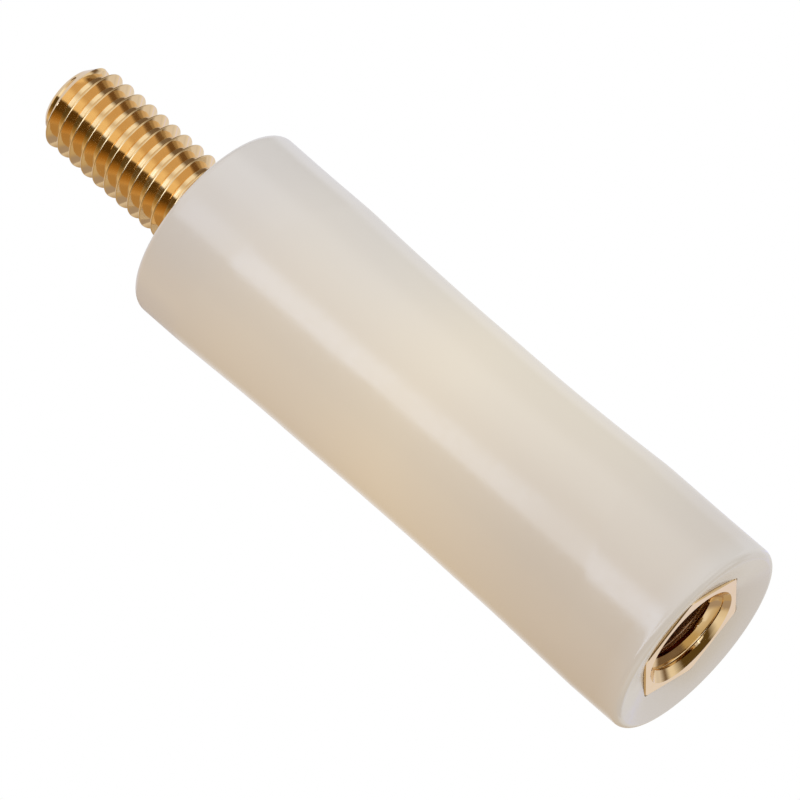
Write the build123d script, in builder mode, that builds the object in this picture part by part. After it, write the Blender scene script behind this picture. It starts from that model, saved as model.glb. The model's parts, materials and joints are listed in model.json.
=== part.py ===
from build123d import *
import os
from math import cos, radians, tan

# Round insulating standoff, in millimetres: a nylon body moulded round two brass fittings.
# It stands on the rim of its tapped end, with the stud pointing up along +Z.
# The origin is the centre of that rim, and two corners of the brass hexagon lie on the X axis.

# Overall sizes
standoff_length = 20.0      # between the two rims of the nylon
stud_length = 6.1           # from the rim to the tip
body_diameter = 6.7

# Nylon body
face_recess = 0.22          # how far each brass face lies below the rim round it
dish_diameter = 6.16        # shallow cone in each end, which meets the corners of the brass face
insert_collar_length = 3.6  # stretch at full diameter round the insert
stud_collar_length = 3.2    # stretch at full diameter round the stud's head
waist_depth = 0.145         # how far the mould shrinkage draws the side in between the collars
rim_radius = 0.16

# Hexagonal brass stock, with a groove turned round it that locks it into the nylon
hexagon_across_flats = 3.85
groove_width = 0.9
groove_depth = 0.2          # below the flats

# Tapped insert, with the hole at its tapping diameter
insert_length = 5.6
hole_depth = 4.4            # from the outer face to the end of the round wall
hole_diameter = 2.5
countersink_diameter = 3.4
countersink_angle = 90.0
drill_point_angle = 118.0

# Stud, with the turns of its thread as a row of rings
head_length = 4.4
stud_diameter = 2.95        # across the thread's crests
tip_chamfer = 0.43
thread_pitch = 0.5
thread_start = 0.63         # from the tip to the middle of the first groove
crest_share = 0.125         # width of each crest, of the pitch
root_share = 0.25           # width of each groove's floor, of the pitch
depth_share = 0.6134        # depth of each groove, of the pitch
cut_overrun = 0.1           # how far the grooves' cut reaches out past the crests


def grooved_hexagon(base_height, length):
    """A length of hexagonal stock along +Z with the groove round its middle."""
    groove_base = base_height + (length - groove_width) / 2
    groove_diameter = hexagon_across_flats - 2 * groove_depth
    with BuildPart() as stock:
        with BuildSketch(Plane.XY.offset(base_height)):
            RegularPolygon(hexagon_across_flats / 2, side_count=6, major_radius=False)
        extrude(amount=length)
        with BuildSketch(Plane.XY.offset(groove_base)):
            RegularPolygon(hexagon_across_flats / 2, side_count=6, major_radius=False)
            Circle(groove_diameter / 2, mode=Mode.SUBTRACT)
        extrude(amount=groove_width, mode=Mode.SUBTRACT)
    return stock.part


def cone_depth(large_diameter, small_diameter, full_angle):
    """Height of a cone between two diameters, from the full angle at its point."""
    return (large_diameter - small_diameter) / 2 / tan(radians(full_angle / 2))


insert_face = face_recess
head_face = standoff_length - face_recess
insert_stock = grooved_hexagon(insert_face, insert_length)
head_stock = grooved_hexagon(head_face - head_length, head_length)

# Tapped insert: the hexagon with a countersunk blind hole in its outer face
countersink_depth = cone_depth(countersink_diameter, hole_diameter, countersink_angle)
drill_point_depth = cone_depth(hole_diameter, 0, drill_point_angle)

with BuildPart() as threaded_insert:
    add(insert_stock)
    with BuildSketch(Plane.XZ):
        with BuildLine():
            Polyline(
                (0, insert_face),
                (countersink_diameter / 2, insert_face),
                (hole_diameter / 2, insert_face + countersink_depth),
                (hole_diameter / 2, insert_face + hole_depth),
                (0, insert_face + hole_depth + drill_point_depth),
                close=True,
            )
        make_face()
    revolve(axis=Axis.Z, mode=Mode.SUBTRACT)

# Stud: the buried hexagonal head, and the threaded shank that stands out of the nylon
stud_tip = standoff_length + stud_length
thread_depth = depth_share * thread_pitch
half_mouth = (1 - crest_share) * thread_pitch / 2
half_root = root_share * thread_pitch / 2
first_groove = stud_tip - thread_start
groove_count = int((first_groove - head_face - half_mouth) / thread_pitch) + 1
groove_heights = [first_groove - turn * thread_pitch for turn in range(groove_count)]

with BuildPart() as threaded_stud:
    add(head_stock)
    with BuildSketch(Plane.XY.offset(head_face)):
        Circle(stud_diameter / 2)
    extrude(amount=stud_tip - head_face)
    tip_edge = threaded_stud.edges().filter_by(GeomType.CIRCLE).sort_by(Axis.Z)[-1]
    chamfer(tip_edge, length=tip_chamfer)
    with BuildSketch(Plane.XZ):
        with Locations(*[(stud_diameter / 2, height) for height in groove_heights]):
            Polygon(
                (-thread_depth, -half_root),
                (0, -half_mouth),
                (cut_overrun, -half_mouth),
                (cut_overrun, half_mouth),
                (0, half_mouth),
                (-thread_depth, half_root),
                align=None,
            )
    revolve(axis=Axis.Z, mode=Mode.SUBTRACT)

# Nylon body: one turned outline with rounded rims, less a dish in each end and the room for the brass
body_radius = body_diameter / 2
waist_base = insert_collar_length
waist_top = standoff_length - stud_collar_length
dish_radius = dish_diameter / 2
corner_radius = hexagon_across_flats / 2 / cos(radians(30))
dish_depth = face_recess * dish_radius / (dish_radius - corner_radius)

with BuildPart() as nylon_body:
    with BuildSketch(Plane.XZ):
        with BuildLine():
            Line((body_radius, 0), (body_radius, waist_base))
            ThreePointArc(
                (body_radius, waist_base),
                (body_radius - waist_depth, (waist_base + waist_top) / 2),
                (body_radius, waist_top),
            )
            Polyline(
                (body_radius, waist_top),
                (body_radius, standoff_length),
                (0, standoff_length),
                (0, 0),
                (body_radius, 0),
            )
        make_face()
    revolve(axis=Axis.Z)
    rims = nylon_body.edges().filter_by(GeomType.CIRCLE).sort_by(Axis.Z)
    fillet([rims[0], rims[-1]], radius=rim_radius)
    for rim_height, dish_bottom in ((0, dish_depth), (standoff_length, standoff_length - dish_depth)):
        with BuildSketch(Plane.XZ):
            with BuildLine():
                Polyline((0, rim_height), (dish_radius, rim_height), (0, dish_bottom), close=True)
            make_face()
        revolve(axis=Axis.Z, mode=Mode.SUBTRACT)
    add(insert_stock, mode=Mode.SUBTRACT)
    add(head_stock, mode=Mode.SUBTRACT)

nylon_body.part.label = "nylon_body"
threaded_insert.part.label = "threaded_insert"
threaded_stud.part.label = "threaded_stud"

os.makedirs("parts", exist_ok=True)
export_step(nylon_body.part, "parts/nylon_body.step")
export_step(threaded_insert.part, "parts/threaded_insert.step")
export_step(threaded_stud.part, "parts/threaded_stud.step")
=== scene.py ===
"""Round nylon standoff with a tapped brass insert and a brass stud, dressed for a studio picture."""
import json
import math

import bmesh
import bpy
from mathutils import Matrix, Vector


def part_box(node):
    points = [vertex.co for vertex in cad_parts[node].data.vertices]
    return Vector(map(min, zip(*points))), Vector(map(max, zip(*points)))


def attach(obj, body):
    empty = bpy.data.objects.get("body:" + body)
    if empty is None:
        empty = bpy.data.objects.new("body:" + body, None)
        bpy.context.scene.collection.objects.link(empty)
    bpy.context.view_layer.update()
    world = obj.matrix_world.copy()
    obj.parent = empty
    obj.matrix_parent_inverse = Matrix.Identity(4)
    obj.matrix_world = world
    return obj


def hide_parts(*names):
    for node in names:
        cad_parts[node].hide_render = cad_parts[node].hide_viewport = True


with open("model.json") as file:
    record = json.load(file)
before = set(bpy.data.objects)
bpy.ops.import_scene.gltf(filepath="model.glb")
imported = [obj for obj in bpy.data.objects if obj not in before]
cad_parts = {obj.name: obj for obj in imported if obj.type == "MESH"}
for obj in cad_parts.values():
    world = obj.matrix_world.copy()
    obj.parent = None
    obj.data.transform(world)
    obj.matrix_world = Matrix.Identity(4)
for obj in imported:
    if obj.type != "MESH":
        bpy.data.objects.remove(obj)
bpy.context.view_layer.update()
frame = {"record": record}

# Lengths are in metres, and angles in radians unless a name says degrees
MM = 0.001
TURN = 2 * math.pi
HEXAGON_SECTOR = TURN / 6

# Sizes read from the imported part
mounts = {mount["name"]: mount for mount in frame["record"]["mounts"]}
body_low, body_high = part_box("nylon_body")
insert_low, insert_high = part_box("threaded_insert")
stud_low, stud_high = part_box("threaded_stud")
BODY_RADIUS = body_high.x
BODY_BASE = body_low.z
BODY_TOP = body_high.z
INSERT_FACE = insert_low.z
INSERT_TOP = insert_high.z
HEAD_BASE = stud_low.z
HEAD_FACE = BODY_TOP - INSERT_FACE
STUD_TIP = stud_high.z
HEXAGON_APOTHEM = insert_high.y
HOLE_RADIUS = mounts["tapped_hole"]["dims"]["r_mm"] * MM
HOLE_WALL = mounts["tapped_hole"]["dims"]["length_mm"] * MM
HOLE_MIDDLE = mounts["tapped_hole"]["pos_m"][2]
STUD_RADIUS = mounts["stud_thread"]["dims"]["r_mm"] * MM

# Camera at the photograph's viewing angle. It aims at a height on the axis, and a little to one side of it
CAMERA_AZIMUTH_DEGREES = 11.0
CAMERA_ELEVATION_DEGREES = -19.69
CAMERA_ROLL_DEGREES = -48.95
CAMERA_DISTANCE = 211.57 * MM
CAMERA_LENS_MM = 322.7
SENSOR_MM = 36.0
AIM_HEIGHT = 11.775 * MM
AIM_ASIDE = -0.346 * MM

# Nylon body: the side is drawn in between two collars, over a longer stretch on one side than on the other.
# Each pair of collars is given where the waist is short and where it is long
LONG_WAIST_DEGREES = 191.0
INSERT_COLLARS = (4.2 * MM, 2.0 * MM)
STUD_COLLARS = (3.7 * MM, 1.8 * MM)
WAIST_DEPTH = 0.135 * MM
RIM_WIDTH = 0.24 * MM
RIM_HEIGHT = 0.25 * MM
DISH_RADIUS = 3.08 * MM
SEAM_GAP = 0.01 * MM

# Unevenness of the moulded side: depth, turns along the body, waves round it, and phase in turns
SIDE_WAVES = (
    (0.006 * MM, 2.3, 2, 0.10),
    (0.004 * MM, 3.7, 3, 0.55),
    (0.002 * MM, 6.1, 4, 0.30),
)

# Brass fittings, with a groove round each that locks it into the nylon
GROOVE_WIDTH = 0.9 * MM
GROOVE_DEPTH = 0.2 * MM
EDGE_BREAK = 0.035 * MM
CORNER_BREAK = 0.03 * MM
COUNTERSINK_RADIUS = 1.7 * MM
TAPPED_RADIUS = 1.53 * MM  # at the bottom of the hole's thread
DRILL_POINT_DEGREES = 31.0
TIP_CHAMFER = 0.43 * MM

# Metric thread: its outline and where it starts are shares of its pitch
PITCH = 0.5 * MM
CREST_SHARE = 0.125
ROOT_SHARE = 0.25
DEPTH_SHARE = 0.6134
CREST_ROUND_SHARE = 0.04
CREST_STEPS = 4
FLANK_STEPS = 2
SPARE_TURNS = 2
RUN_OUT = 0.45 * MM
STUD_START_SHARE = 0.59
INSERT_START_SHARE = 0.64

# Mesh fineness
COLUMNS = 192
SIDE_ROWS = 150
RIM_ROWS = 10
WELD = 0.0002 * MM
SMOOTH_DEGREES = 28.0

# Stretch of a noise's values that most of a surface has
NOISE_MIDDLE = (0.3, 0.7)

# Nylon: its colours along the body, with painted shade where brass lies behind it and painted light through
# the solid middle, how far along it is palest, the painted highlight added at the rim of the tapped end, and
# how far up
NYLON_SHADED_OVER_INSERT = (0.715, 0.65, 0.565)
NYLON_LIT_CORE = (0.885, 0.80, 0.652)
NYLON_SHADED_OVER_STUD = (0.75, 0.708, 0.653)
LIT_CORE_SHARE = 0.49
PAINTED_RIM_HIGHLIGHT = (0.03, 0.055, 0.08)
RIM_HIGHLIGHT_HEIGHT = 0.9 * MM

# Gloss, clouds and skin of the nylon
NYLON_ROUGHNESS = (0.11, 0.19)
NYLON_IOR = 1.53
NYLON_SPECULAR = 0.7
CLOUD_GRAIN = 6 * MM
CLOUD_DETAIL = 0
CLOUD_SHIFT = 1.4 * MM
SKIN_GRAIN = 0.25 * MM
SKIN_DETAIL = 3
SKIN_DEPTH = 0.0004 * MM

# Brass
BRASS_COLOURS = ((0.90, 0.655, 0.345), (0.93, 0.705, 0.40))
BRASS_ROUGHNESS = (0.06, 0.12)
TARNISH_GRAIN = 0.8 * MM
TARNISH_DETAIL = 3
TOOL_MARK_GRAIN = 0.05 * MM
TOOL_MARK_DETAIL = 2
TOOL_MARK_DEPTH = 0.0008 * MM

# Painted shade in the tapped hole, which by depth covers the buried outside of the insert too: how deep it
# starts and where it is darkest, what it leaves of the colour there, and what it adds to the roughness
PAINTED_SHADE_DEPTHS = (0.6 * MM, 1.0 * MM)
PAINTED_SHADE_SHARES = (0.27, 0.06, 0.015)
DEEP_HOLE_ROUGHNESS = 0.7

# Cards and softboxes of the studio, which shiny surfaces see. The panels' strength is above the brightest,
# so that a ramp holds no colour over 1
WHITE = (1.0, 1.0, 1.0)
SOFTBOX = (2.0, 2.3, 2.9)
DARK_CARD = (0.10, 0.065, 0.02)
BROWN_CARD = (0.17, 0.12, 0.08)
TAN_CARD = (0.40, 0.245, 0.07)
AMBER_CARD = (0.74, 0.58, 0.36)
HONEY_CARD = (0.50, 0.38, 0.20)
DULL_CARD = (0.70, 0.61, 0.51)
GREY_CARD = (0.75, 0.74, 0.80)
SHADED_CARD = (0.40, 0.34, 0.31)
PALE_CARD = (0.82, 0.80, 0.79)
LILAC_CARD = (0.79, 0.80, 1.12)
COOL_CARD = (0.68, 0.67, 0.72)
LOW_WARM_CARD = (0.49, 0.385, 0.25)
LOW_DARK_CARD = (0.22, 0.16, 0.10)
LOW_BROWN_CARD = (0.38, 0.35, 0.32)
PANEL_STRENGTH = 3.0

# Where they stand: azimuth in degrees, and colour, for steep directions, near the level, far above and
# far below
HIGH_PANELS = (
    (-180, AMBER_CARD),
    (-155, TAN_CARD),
    (-133, DARK_CARD),
    (-102, DARK_CARD),
    (-97, WHITE),
    (-74, WHITE),
    (-55, DULL_CARD),
    (-38, WHITE),
    (-13, WHITE),
    (4, BROWN_CARD),
    (48, BROWN_CARD),
    (60, GREY_CARD),
    (100, GREY_CARD),
    (118, SHADED_CARD),
    (160, SHADED_CARD),
    (180, AMBER_CARD),
)
LOW_PANELS = (
    (-180, LOW_WARM_CARD),
    (-145, LOW_WARM_CARD),
    (-130, LOW_DARK_CARD),
    (-101, LOW_DARK_CARD),
    (-97, SOFTBOX),
    (-79, SOFTBOX),
    (-68, COOL_CARD),
    (-55, COOL_CARD),
    (-40, PALE_CARD),
    (-10, PALE_CARD),
    (12, LOW_BROWN_CARD),
    (42, LOW_BROWN_CARD),
    (55, COOL_CARD),
    (75, COOL_CARD),
    (90, PALE_CARD),
    (95, PALE_CARD),
    (98, LILAC_CARD),
    (103, LILAC_CARD),
    (106, PALE_CARD),
    (118, PALE_CARD),
    (138, LOW_WARM_CARD),
    (180, LOW_WARM_CARD),
)
ABOVE_PANELS = (
    (-180, AMBER_CARD),
    (-155, TAN_CARD),
    (-133, DARK_CARD),
    (-104, DARK_CARD),
    (-98, WHITE),
    (-68, WHITE),
    (-50, DULL_CARD),
    (0, DULL_CARD),
    (15, BROWN_CARD),
    (45, BROWN_CARD),
    (58, GREY_CARD),
    (140, GREY_CARD),
    (180, AMBER_CARD),
)
BELOW_PANELS = (
    (-180, PALE_CARD),
    (-162, PALE_CARD),
    (-120, DARK_CARD),
    (5, DARK_CARD),
    (28, PALE_CARD),
    (42, PALE_CARD),
    (56, BROWN_CARD),
    (70, BROWN_CARD),
    (84, HONEY_CARD),
    (130, HONEY_CARD),
    (180, PALE_CARD),
)

# Sines of the angle from the level between which the steep panels take over, up and down, then those far
# above, and those far below
HIGH_START = (0.352, 0.370)
ABOVE_START = (0.48, 0.54)
BELOW_START = (0.55, 0.65)

# Lean of the panels near the level: degrees of azimuth for each unit of that sine, and its value where
# they stand as listed
LOW_LEAN_DEGREES = 100.0
LOW_LEVEL = 0.33

# Soft light from all round: azimuth in degrees, and colour
WARM_FILL = (0.815, 0.68, 0.555)
COOL_FILL = (0.735, 0.74, 0.77)
BRIGHT_FILL = (0.85, 0.90, 0.93)
FILLS = (
    (-180, WARM_FILL),
    (-125, WARM_FILL),
    (-85, COOL_FILL),
    (0, COOL_FILL),
    (45, BRIGHT_FILL),
    (110, BRIGHT_FILL),
    (160, WARM_FILL),
    (180, WARM_FILL),
)
FILL_STRENGTH = 1.0
LOW_FILL = (0.76, 0.72, 0.67)

# Key lamp, an upright panel that reflections leave out, because the studio's panels are there for them
KEY_AZIMUTH_DEGREES = -30.0
KEY_DISTANCE = 400 * MM
KEY_HEIGHT = 160 * MM
KEY_SIZE = (480 * MM, 600 * MM)
KEY_RADIANCE = 0.5
KEY_COLOUR = (0.94, 1.0, 1.12)

# Floor, which fades into the white background
FLOOR_DROP = 0.01 * MM
FLOOR_RADIUS = 200 * MM
FLOOR_FADE = (40 * MM, 150 * MM)
FLOOR_SIDES = 96
FLOOR_COLOUR = (0.93, 0.94, 0.95, 1)


# Rows of points round the axis: each is a list of (radius, height), one for each column

def angle_at(column):
    return TURN * column / COLUMNS


def circle_row(radius, height):
    return [(radius, height)] * COLUMNS


def hexagon_row(apothem, height):
    """A hexagon with corners on the X axis, its corners turned off a little."""
    corner_limit = apothem / math.cos(HEXAGON_SECTOR / 2) - CORNER_BREAK
    row = []
    for column in range(COLUMNS):
        from_flat = angle_at(column) % HEXAGON_SECTOR - HEXAGON_SECTOR / 2
        row.append((min(apothem / math.cos(from_flat), corner_limit), height))
    return row


def add_rows(mesh, rows):
    """Faces between neighbouring rows: closed rings, or turns of a thread, which have one point more."""
    vertices = []
    for row in rows:
        line = []
        for column, (radius, height) in enumerate(row):
            angle = angle_at(column)
            line.append(mesh.verts.new((radius * math.cos(angle), radius * math.sin(angle), height)))
        vertices.append(line)
    for lower, upper in zip(vertices, vertices[1:]):
        for column in range(COLUMNS):
            after = (column + 1) % len(lower)
            mesh.faces.new((lower[column], lower[after], upper[after], upper[column]))


def thread_stretches():
    """The crest, flank, root and flank of one pitch: where each ends, and in how many steps."""
    flank = (1 - CREST_SHARE - ROOT_SHARE) / 2
    crest_end = CREST_SHARE
    root_start = crest_end + flank
    root_end = root_start + ROOT_SHARE
    return (crest_end, CREST_STEPS), (root_start, FLANK_STEPS), (root_end, FLANK_STEPS), (1, FLANK_STEPS)


def thread_knots():
    """Shares of the pitch at which the thread's outline has its points."""
    knots = []
    start = 0
    for end, steps in thread_stretches():
        knots += [start + (end - start) * step / steps for step in range(steps)]
        start = end
    return knots


def thread_cut(phase):
    """How deep the thread is cut at a phase, from 0 at the top of the rounded crest to 1 at the root."""
    crest_end, root_start, root_end, next_crest = [end for end, steps in thread_stretches()]
    if phase < crest_end:
        return CREST_ROUND_SHARE * (2 * phase / crest_end - 1) ** 2
    if root_start < phase < root_end:
        return 1
    if phase < root_end:
        down = (phase - crest_end) / (root_start - crest_end)
    else:
        down = (next_crest - phase) / (next_crest - root_end)
    return CREST_ROUND_SHARE + (1 - CREST_ROUND_SHARE) * down


def add_thread(mesh, low, high, start_share, radius_at):
    """A threaded wall between two heights: its rows climb one pitch in each turn, and stop there."""
    rows = []
    first = math.floor(low / PITCH) - SPARE_TURNS
    last = math.ceil(high / PITCH) + SPARE_TURNS
    for turn in range(first, last):
        for share in thread_knots():
            row = []
            for column in range(COLUMNS + 1):
                climbed = (turn + share + start_share + column / COLUMNS) * PITCH
                height = min(max(climbed, low), high)
                phase = (height / PITCH - start_share - column / COLUMNS) % 1
                row.append((radius_at(phase, height), height))
            rows.append(row)
    add_rows(mesh, rows)


def finish_mesh(mesh, name, material, node):
    """Weld the mesh and put it in place of its solid."""
    bmesh.ops.remove_doubles(mesh, verts=mesh.verts, dist=WELD)
    bmesh.ops.dissolve_degenerate(mesh, edges=mesh.edges, dist=WELD)
    bmesh.ops.recalc_face_normals(mesh, faces=mesh.faces)
    data = bpy.data.meshes.new(name)
    mesh.to_mesh(data)
    mesh.free()
    data.materials.append(material)
    data.shade_smooth()
    data.set_sharp_from_angle(angle=math.radians(SMOOTH_DEGREES))
    piece = bpy.data.objects.new(name, data)
    bpy.context.scene.collection.objects.link(piece)
    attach(piece, "root")
    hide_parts(node)


# Nylon body

def between(pair, share):
    return pair[0] + (pair[1] - pair[0]) * share


def body_side(height, angle):
    """Radius of the nylon's side: waisted between the collars, and slightly uneven."""
    long_share = (1 + math.cos(angle - math.radians(LONG_WAIST_DEGREES))) / 2
    low = BODY_BASE + between(INSERT_COLLARS, long_share)
    high = BODY_TOP - between(STUD_COLLARS, long_share)
    radius = BODY_RADIUS
    if low < height < high:
        across = 2 * (height - low) / (high - low) - 1
        radius -= WAIST_DEPTH * (1 - across * across)
    along = (height - BODY_BASE) / (BODY_TOP - BODY_BASE)
    for depth, turns, waves, phase in SIDE_WAVES:
        radius -= depth * (1 + math.cos(TURN * (turns * along + phase) + waves * angle))
    return radius


def dish_depth(radius):
    """How far the dish in an end lies below the rim: at the brass face's corners, level with the face."""
    corner = HEXAGON_APOTHEM / math.cos(HEXAGON_SECTOR / 2)
    return INSERT_FACE * (DISH_RADIUS - radius) / (DISH_RADIUS - corner)


def cavity_rows(closed_end, rim, groove_middle):
    """The room for one fitting, from its closed end to the outer edge of the dish round its mouth."""
    apothem = HEXAGON_APOTHEM + SEAM_GAP
    groove = apothem - GROOVE_DEPTH
    inwards = math.copysign(1, closed_end - rim)
    towards_end = inwards * GROOVE_WIDTH / 2
    mouth = [(radius, rim + inwards * dish_depth(radius)) for radius, height in hexagon_row(apothem, rim)]
    return [
        circle_row(0, closed_end),
        hexagon_row(apothem, closed_end),
        hexagon_row(apothem, groove_middle + towards_end),
        circle_row(groove, groove_middle + towards_end),
        circle_row(groove, groove_middle - towards_end),
        hexagon_row(apothem, groove_middle - towards_end),
        mouth,
        circle_row(DISH_RADIUS, rim),
    ]


def make_nylon_body(material):
    """The sleeve, from the closed end of one cavity, over the outside, to the closed end of the other."""
    rows = cavity_rows(INSERT_TOP + SEAM_GAP, BODY_BASE, (INSERT_FACE + INSERT_TOP) / 2)
    side_base = BODY_BASE + RIM_HEIGHT
    side_top = BODY_TOP - RIM_HEIGHT
    for step in range(RIM_ROWS):
        turn = TURN / 4 * step / RIM_ROWS
        inset = RIM_WIDTH * (1 - math.sin(turn))
        height = side_base - RIM_HEIGHT * math.cos(turn)
        rows.append([(body_side(side_base, angle_at(column)) - inset, height) for column in range(COLUMNS)])
    for step in range(SIDE_ROWS + 1):
        height = side_base + (side_top - side_base) * step / SIDE_ROWS
        rows.append([(body_side(height, angle_at(column)), height) for column in range(COLUMNS)])
    for step in range(1, RIM_ROWS + 1):
        turn = TURN / 4 * step / RIM_ROWS
        inset = RIM_WIDTH * (1 - math.cos(turn))
        height = side_top + RIM_HEIGHT * math.sin(turn)
        rows.append([(body_side(side_top, angle_at(column)) - inset, height) for column in range(COLUMNS)])
    rows += reversed(cavity_rows(HEAD_BASE - SEAM_GAP, BODY_TOP, (HEAD_BASE + HEAD_FACE) / 2))
    mesh = bmesh.new()
    add_rows(mesh, rows)
    finish_mesh(mesh, "nylon_sleeve", material, "nylon_body")


# Brass fittings

def stock_rows(buried_end, outer_end):
    """Grooved hexagonal stock, from the middle of its buried end to the edge of its outer face."""
    outwards = math.copysign(1, outer_end - buried_end)
    middle = (buried_end + outer_end) / 2
    groove = HEXAGON_APOTHEM - GROOVE_DEPTH
    groove_start = middle - outwards * GROOVE_WIDTH / 2
    groove_end = middle + outwards * GROOVE_WIDTH / 2
    return [
        circle_row(0, buried_end),
        hexagon_row(HEXAGON_APOTHEM, buried_end),
        hexagon_row(HEXAGON_APOTHEM, groove_start),
        circle_row(groove, groove_start),
        circle_row(groove, groove_end),
        hexagon_row(HEXAGON_APOTHEM, groove_end),
        hexagon_row(HEXAGON_APOTHEM, outer_end - outwards * EDGE_BREAK),
        hexagon_row(HEXAGON_APOTHEM - EDGE_BREAK, outer_end),
    ]


def make_stud(material):
    """Hexagonal head, threaded shank and chamfered tip."""
    depth = DEPTH_SHARE * PITCH
    tip_radius = STUD_RADIUS - TIP_CHAMFER

    def stud_radius(phase, height):
        fade = min(1, (height - HEAD_FACE) / RUN_OUT)
        thread = STUD_RADIUS - depth * fade * thread_cut(phase)
        return min(thread, tip_radius + STUD_TIP - height)

    mesh = bmesh.new()
    add_rows(mesh, stock_rows(HEAD_BASE, HEAD_FACE) + [circle_row(STUD_RADIUS, HEAD_FACE)])
    add_thread(mesh, HEAD_FACE, STUD_TIP, STUD_START_SHARE, stud_radius)
    add_rows(mesh, [circle_row(tip_radius, STUD_TIP), circle_row(0, STUD_TIP)])
    finish_mesh(mesh, "stud", material, "threaded_stud")


def make_insert(material):
    """Hexagonal bush with a countersunk, tapped blind hole in its outer face."""
    depth = TAPPED_RADIUS - HOLE_RADIUS
    hole_end = HOLE_MIDDLE + HOLE_WALL / 2
    point = hole_end + HOLE_RADIUS * math.tan(math.radians(DRILL_POINT_DEGREES))

    def hole_radius(phase, height):
        fade = min(1, (hole_end - height) / RUN_OUT)
        thread = HOLE_RADIUS + depth * fade * (1 - thread_cut(phase))
        return max(thread, COUNTERSINK_RADIUS - (height - INSERT_FACE))

    mesh = bmesh.new()
    add_rows(mesh, stock_rows(INSERT_TOP, INSERT_FACE) + [circle_row(COUNTERSINK_RADIUS, INSERT_FACE)])
    add_thread(mesh, INSERT_FACE, hole_end, INSERT_START_SHARE, hole_radius)
    add_rows(mesh, [circle_row(HOLE_RADIUS, hole_end), circle_row(0, point)])
    finish_mesh(mesh, "insert", material, "threaded_insert")


# Materials

def new_node(tree, kind, inputs, **settings):
    """A node with its settings, and a value or a link for each of its named inputs."""
    node = tree.nodes.new(kind)
    for name, value in settings.items():
        setattr(node, name, value)
    for name, value in inputs.items():
        if isinstance(value, bpy.types.NodeSocket):
            tree.links.new(value, node.inputs[name])
        else:
            node.inputs[name].default_value = value
    return node


def colour_ramp(tree, factor, stops, interpolation="LINEAR"):
    """Colours between stops of (position, colour)."""
    node = new_node(tree, "ShaderNodeValToRGB", {"Fac": factor})
    node.color_ramp.interpolation = interpolation
    elements = node.color_ramp.elements
    while len(elements) < len(stops):
        elements.new(1)
    for element, (position, colour) in zip(elements, stops):
        element.position = position
        element.color = (*colour, 1)
    return node.outputs["Color"]


def noise(tree, place, grain, detail):
    """Soft noise with grains of about the given length."""
    inputs = {"Vector": place, "Scale": 1 / grain, "Detail": detail}
    return new_node(tree, "ShaderNodeTexNoise", inputs).outputs["Fac"]


def rise(tree, value, start, end):
    """A value's climb from 0 at the start to 1 at the end."""
    inputs = {"Value": value, "From Min": start, "From Max": end}
    return new_node(tree, "ShaderNodeMapRange", inputs).outputs["Result"]


def spread(tree, factor, low, high):
    """A noise's middle stretch spread from low to high."""
    near, far = NOISE_MIDDLE
    inputs = {"Value": factor, "From Min": near, "From Max": far, "To Min": low, "To Max": high}
    return new_node(tree, "ShaderNodeMapRange", inputs).outputs["Result"]


def mottle(tree, factor, colours):
    """A noise's middle stretch spread between two colours."""
    return colour_ramp(tree, factor, list(zip(NOISE_MIDDLE, colours)))


def new_material(name):
    material = bpy.data.materials.new(name)
    material.use_nodes = True
    tree = material.node_tree
    place = new_node(tree, "ShaderNodeTexCoord", {}).outputs["Object"]
    return material, tree, tree.nodes["Principled BSDF"], place


def make_nylon():
    """Natural nylon: cloudy ivory with painted light, paler through the solid middle and painted darker
    where brass lies behind it, a painted highlight at one rim, and a satin skin.
    """
    material, tree, shader, place = new_material("natural_nylon")
    height = new_node(tree, "ShaderNodeSeparateXYZ", {"Vector": place}).outputs["Z"]
    clouds = spread(tree, noise(tree, place, CLOUD_GRAIN, CLOUD_DETAIL), -CLOUD_SHIFT, CLOUD_SHIFT)
    shifted = new_node(tree, "ShaderNodeMath", {0: height, 1: clouds}, operation="ADD").outputs["Value"]
    # Painted shade over the brass at both ends and painted light through the solid middle, moved about by
    # the clouds
    stops = [(0, NYLON_SHADED_OVER_INSERT), (LIT_CORE_SHARE, NYLON_LIT_CORE), (1, NYLON_SHADED_OVER_STUD)]
    clouds_and_painted_light = colour_ramp(tree, rise(tree, shifted, BODY_BASE, BODY_TOP), stops, "EASE")
    # Painted highlight: the nylon is made paler and cooler towards the rim of the tapped end
    rim_highlight_mask = rise(tree, height, BODY_BASE + RIM_HIGHLIGHT_HEIGHT, BODY_BASE)
    highlighted = {0: PAINTED_RIM_HIGHLIGHT, 1: rim_highlight_mask, 2: clouds_and_painted_light}
    colour = new_node(tree, "ShaderNodeVectorMath", highlighted, operation="MULTIPLY_ADD")
    skin = noise(tree, place, SKIN_GRAIN, SKIN_DETAIL)
    bump = new_node(tree, "ShaderNodeBump", {"Height": skin, "Distance": SKIN_DEPTH})
    tree.links.new(colour.outputs["Vector"], shader.inputs["Base Color"])
    tree.links.new(spread(tree, skin, *NYLON_ROUGHNESS), shader.inputs["Roughness"])
    tree.links.new(bump.outputs["Normal"], shader.inputs["Normal"])
    shader.inputs["IOR"].default_value = NYLON_IOR
    shader.inputs["Specular IOR Level"].default_value = NYLON_SPECULAR
    return material


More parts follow.
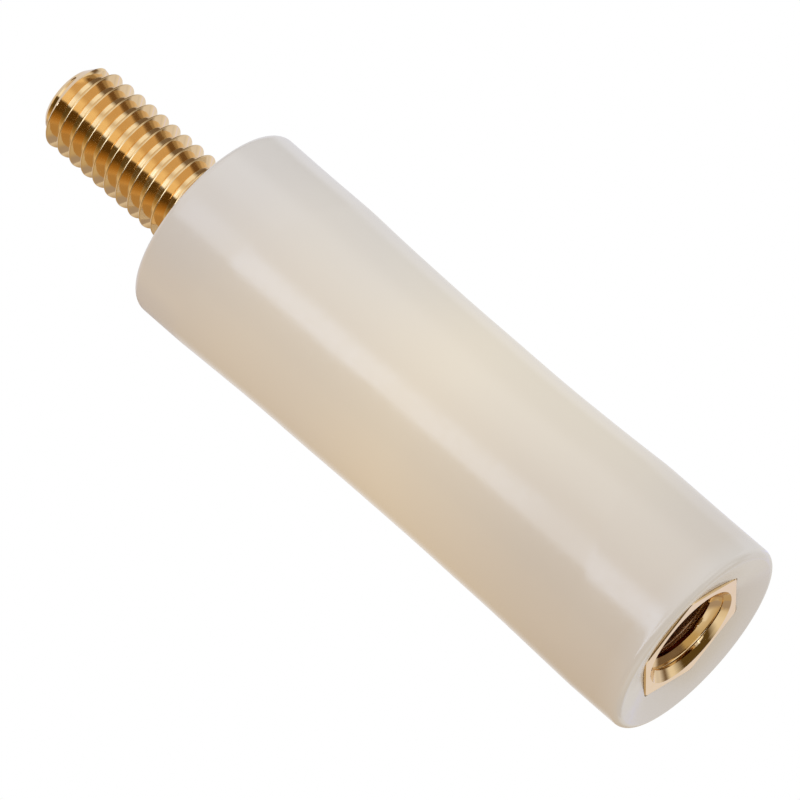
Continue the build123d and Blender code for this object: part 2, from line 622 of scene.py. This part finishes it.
def make_brass():
    """Bright turned brass with fine tool marks round the axis, with painted shade in the depth of the
    insert.
    """
    material, tree, shader, place = new_material("turned_brass")
    tarnish = noise(tree, place, TARNISH_GRAIN, TARNISH_DETAIL)
    across = new_node(tree, "ShaderNodeVectorMath", {0: place, 1: (1, 1, 0)}, operation="MULTIPLY")
    radius = new_node(tree, "ShaderNodeVectorMath", {0: across.outputs["Vector"]}, operation="LENGTH")
    height = new_node(tree, "ShaderNodeSeparateXYZ", {"Vector": place}).outputs["Z"]
    # Painted shade: the brass is darkened deep in the tapped hole and on the insert beyond that depth, where
    # it is also rougher and loses its tool marks
    start, darkest = PAINTED_SHADE_DEPTHS
    deep = rise(tree, height, INSERT_FACE + start, INSERT_FACE + darkest)
    in_insert = new_node(tree, "ShaderNodeMath", {0: height, 1: INSERT_TOP}, operation="LESS_THAN")
    painted_shade_mask = new_node(tree, "ShaderNodeMath", {0: deep, 1: in_insert.outputs["Value"]}, operation="MULTIPLY")
    shade_kept = colour_ramp(tree, painted_shade_mask.outputs["Value"], [(0, WHITE), (1, PAINTED_SHADE_SHARES)])
    mottled_and_shaded = {0: mottle(tree, tarnish, BRASS_COLOURS), 1: shade_kept}
    colour = new_node(tree, "ShaderNodeVectorMath", mottled_and_shaded, operation="MULTIPLY").outputs["Vector"]
    turned = new_node(tree, "ShaderNodeCombineXYZ", {"X": radius.outputs["Value"], "Z": height})
    marks = noise(tree, turned.outputs["Vector"], TOOL_MARK_GRAIN, TOOL_MARK_DETAIL)
    clean = new_node(tree, "ShaderNodeMath", {0: 1, 1: painted_shade_mask.outputs["Value"]}, operation="SUBTRACT")
    relief = {"Height": marks, "Distance": TOOL_MARK_DEPTH, "Strength": clean.outputs["Value"]}
    bump = new_node(tree, "ShaderNodeBump", relief)
    tree.links.new(colour, shader.inputs["Base Color"])
    finish = {0: painted_shade_mask.outputs["Value"], 1: DEEP_HOLE_ROUGHNESS, 2: spread(tree, tarnish, *BRASS_ROUGHNESS)}
    roughness = new_node(tree, "ShaderNodeMath", finish, operation="MULTIPLY_ADD").outputs["Value"]
    tree.links.new(roughness, shader.inputs["Roughness"])
    tree.links.new(bump.outputs["Normal"], shader.inputs["Normal"])
    shader.inputs["Metallic"].default_value = 1
    return material


# Studio

def camera_axes():
    """The camera's right, up and backward directions in the part's frame."""
    azimuth = math.radians(CAMERA_AZIMUTH_DEGREES)
    elevation = math.radians(CAMERA_ELEVATION_DEGREES)
    roll = math.radians(CAMERA_ROLL_DEGREES)
    level = math.cos(elevation)
    back = Vector((math.sin(azimuth) * level, -math.cos(azimuth) * level, math.sin(elevation)))
    level_right = Vector((math.cos(azimuth), math.sin(azimuth), 0))
    level_up = back.cross(level_right)
    right = level_right * math.cos(roll) + level_up * math.sin(roll)
    up = level_up * math.cos(roll) - level_right * math.sin(roll)
    return right, up, back


def make_camera():
    right, up, back = camera_axes()
    data = bpy.data.cameras.new("camera")
    data.lens = CAMERA_LENS_MM
    data.sensor_width = SENSOR_MM
    camera = bpy.data.objects.new("camera", data)
    bpy.context.scene.collection.objects.link(camera)
    axis = Vector((0, 0, 1))
    aim = axis * AIM_HEIGHT + axis.cross(back).normalized() * AIM_ASIDE
    turn = Matrix((right, up, back)).transposed().to_4x4()
    camera.matrix_world = Matrix.Translation(aim + back * CAMERA_DISTANCE) @ turn
    bpy.context.scene.camera = camera


def make_key():
    """The key lamp, which faces the part's axis."""
    data = bpy.data.lights.new("key", "AREA")
    data.shape = "RECTANGLE"
    data.color = KEY_COLOUR
    data.size, data.size_y = KEY_SIZE
    data.energy = KEY_RADIANCE * math.pi * data.size * data.size_y
    lamp = bpy.data.objects.new("key", data)
    bpy.context.scene.collection.objects.link(lamp)
    azimuth = math.radians(KEY_AZIMUTH_DEGREES)
    outwards = Vector((math.cos(azimuth), math.sin(azimuth), 0))
    lamp.location = outwards * KEY_DISTANCE + Vector((0, 0, KEY_HEIGHT))
    lamp.rotation_euler = outwards.to_track_quat("Z", "Y").to_euler()
    lamp.visible_camera = False
    lamp.visible_glossy = False


def make_floor():
    """A pale floor under the part, seen only from above, that fades into the background."""
    mesh = bmesh.new()
    bmesh.ops.create_circle(mesh, cap_ends=True, segments=FLOOR_SIDES, radius=FLOOR_RADIUS)
    data = bpy.data.meshes.new("floor")
    mesh.to_mesh(data)
    mesh.free()
    material = bpy.data.materials.new("pale_floor")
    material.use_nodes = True
    tree = material.node_tree
    tree.nodes.clear()
    place = new_node(tree, "ShaderNodeTexCoord", {}).outputs["Object"]
    reach = new_node(tree, "ShaderNodeVectorMath", {0: place}, operation="LENGTH").outputs["Value"]
    near, far = FLOOR_FADE
    ranges = {"Value": reach, "From Min": near, "From Max": far}
    fade = new_node(tree, "ShaderNodeMapRange", ranges, interpolation_type="SMOOTHSTEP")
    below = new_node(tree, "ShaderNodeNewGeometry", {}).outputs["Backfacing"]
    hidden = new_node(tree, "ShaderNodeMath", {0: fade.outputs["Result"], 1: below}, operation="MAXIMUM")
    surface = new_node(tree, "ShaderNodeBsdfDiffuse", {"Color": FLOOR_COLOUR})
    clear = new_node(tree, "ShaderNodeBsdfTransparent", {})
    shaders = {"Fac": hidden.outputs["Value"], 1: surface.outputs["BSDF"], 2: clear.outputs["BSDF"]}
    mixed = new_node(tree, "ShaderNodeMixShader", shaders)
    new_node(tree, "ShaderNodeOutputMaterial", {"Surface": mixed.outputs["Shader"]})
    data.materials.append(material)
    floor = bpy.data.objects.new("floor", data)
    floor.location.z = -FLOOR_DROP
    bpy.context.scene.collection.objects.link(floor)
    floor.visible_diffuse = False
    floor.visible_glossy = False
    floor.visible_transmission = False
    floor.visible_shadow = False


def surroundings(tree, around, stops, strength):
    """Light that changes with the azimuth."""
    places = [((degrees + 180) / 360, [part / strength for part in colour]) for degrees, colour in stops]
    inputs = {"Color": colour_ramp(tree, around, places), "Strength": strength}
    return new_node(tree, "ShaderNodeBackground", inputs).outputs["Background"]


def plain_light(tree, colour):
    return new_node(tree, "ShaderNodeBackground", {"Color": (*colour, 1)}).outputs["Background"]


def mixed_light(tree, factor, first, second):
    inputs = {"Fac": factor, 1: first, 2: second}
    return new_node(tree, "ShaderNodeMixShader", inputs).outputs["Shader"]


def make_world():
    """White to the camera, cards and softboxes to reflections, and soft light from all round to the rest."""
    world = bpy.data.worlds.new("studio")
    bpy.context.scene.world = world
    world.use_nodes = True
    world.cycles.sampling_method = "NONE"
    tree = world.node_tree
    direction = new_node(tree, "ShaderNodeTexCoord", {}).outputs["Generated"]
    parts = new_node(tree, "ShaderNodeSeparateXYZ", {"Vector": direction}).outputs
    azimuth = new_node(tree, "ShaderNodeMath", {0: parts["Y"], 1: parts["X"]}, operation="ARCTAN2")
    around = rise(tree, azimuth.outputs["Value"], -math.pi, math.pi)
    steepness = new_node(tree, "ShaderNodeMath", {0: parts["Z"]}, operation="ABSOLUTE").outputs["Value"]
    turned_over = {0: parts["Z"], 1: -1}
    downwards = new_node(tree, "ShaderNodeMath", turned_over, operation="MULTIPLY").outputs["Value"]

    lean = math.radians(LOW_LEAN_DEGREES)
    leaning = {0: steepness, 1: -lean, 2: azimuth.outputs["Value"]}
    low_azimuth = new_node(tree, "ShaderNodeMath", leaning, operation="MULTIPLY_ADD").outputs["Value"]
    level_turn = lean * LOW_LEVEL
    low_around = rise(tree, low_azimuth, -math.pi - level_turn, math.pi - level_turn)
    low = surroundings(tree, low_around, LOW_PANELS, PANEL_STRENGTH)
    high = surroundings(tree, around, HIGH_PANELS, PANEL_STRENGTH)
    panels = mixed_light(tree, rise(tree, steepness, *HIGH_START), low, high)
    above = surroundings(tree, around, ABOVE_PANELS, PANEL_STRENGTH)
    panels = mixed_light(tree, rise(tree, parts["Z"], *ABOVE_START), panels, above)
    below = surroundings(tree, around, BELOW_PANELS, PANEL_STRENGTH)
    panels = mixed_light(tree, rise(tree, downwards, *BELOW_START), panels, below)
    fill = surroundings(tree, around, FILLS, FILL_STRENGTH)
    fill = mixed_light(tree, rise(tree, downwards, 0, 1), fill, plain_light(tree, LOW_FILL))

    rays = new_node(tree, "ShaderNodeLightPath", {}).outputs
    mirrored = {0: rays["Is Glossy Ray"], 1: rays["Is Transmission Ray"]}
    shiny = new_node(tree, "ShaderNodeMath", mirrored, operation="MAXIMUM").outputs["Value"]
    lighting = mixed_light(tree, shiny, fill, panels)
    picture = mixed_light(tree, rays["Is Camera Ray"], lighting, plain_light(tree, WHITE))
    tree.links.new(picture, tree.nodes["World Output"].inputs["Surface"])


make_camera()
nylon = make_nylon()
brass = make_brass()
make_nylon_body(nylon)
make_insert(brass)
make_stud(brass)
make_key()
make_floor()
make_world()
bpy.context.scene.view_settings.view_transform = "Standard"
